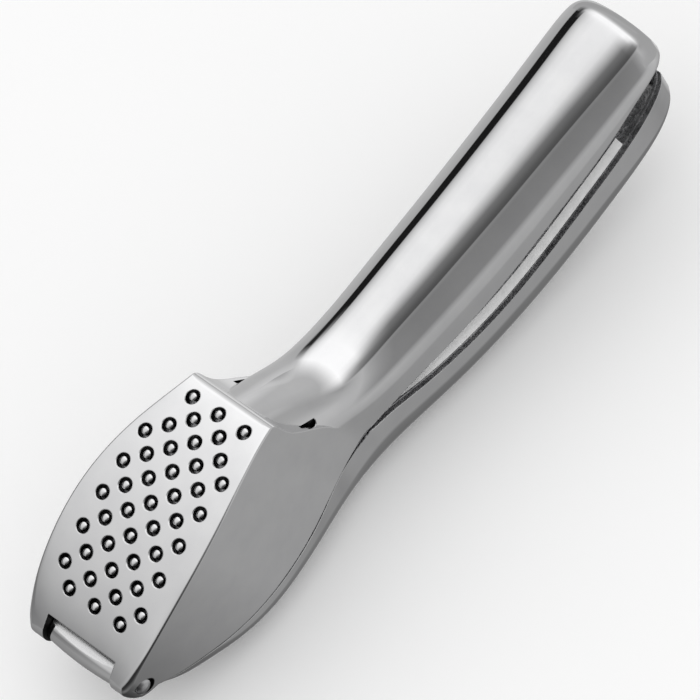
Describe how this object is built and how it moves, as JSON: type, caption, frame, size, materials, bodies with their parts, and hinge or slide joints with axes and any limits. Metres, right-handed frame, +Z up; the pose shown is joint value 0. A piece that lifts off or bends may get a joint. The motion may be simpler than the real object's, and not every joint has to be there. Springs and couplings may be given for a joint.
{
  "type": "garlic press",
  "caption": "Cast metal garlic press: perforated hopper lever over a trough lever, with a pivoting plunger whose cleaning pins fill the holes when closed.",
  "frame": {"origin": "centre of the bounding box in plan, on the surface the closed press lies on", "axes": "+X runs from the hinge to the handle ends, +Y is the left side seen from the hinge, +Z up with the sieve face up"},
  "size_m": [0.1854, 0.037, 0.049],
  "materials": {
    "chromed_casting": "bright chrome over a die casting",
    "plunger_casting": "chrome over a die casting, slightly satin",
    "pin_steel": "polished steel rivet"
  },
  "bodies": {
    "press_body": {"press_lever": "chromed_casting", "plunger_pin": "pin_steel"},
    "sieve_body": {"sieve_lever": "chromed_casting", "hinge_pin": "pin_steel"},
    "plunger_body": {"plunger": "plunger_casting"}
  },
  "joints": [
    {"name": "lever_hinge", "type": "hinge", "parent": "press_body", "child": "sieve_body", "pos_m": [-0.08802, 0, 0.01931], "axis": [0, -1, 0], "range_deg": [0, 80]},
    {"name": "plunger_pivot", "type": "hinge", "parent": "press_body", "child": "plunger_body", "pos_m": [-0.0593, 0, 0.02622], "axis": [0, -1, 0], "range_deg": [0, 40]}
  ],
  "couplings": [
    {"joint": "plunger_pivot", "follows": "lever_hinge", "ratio": 0.5}
  ]
}
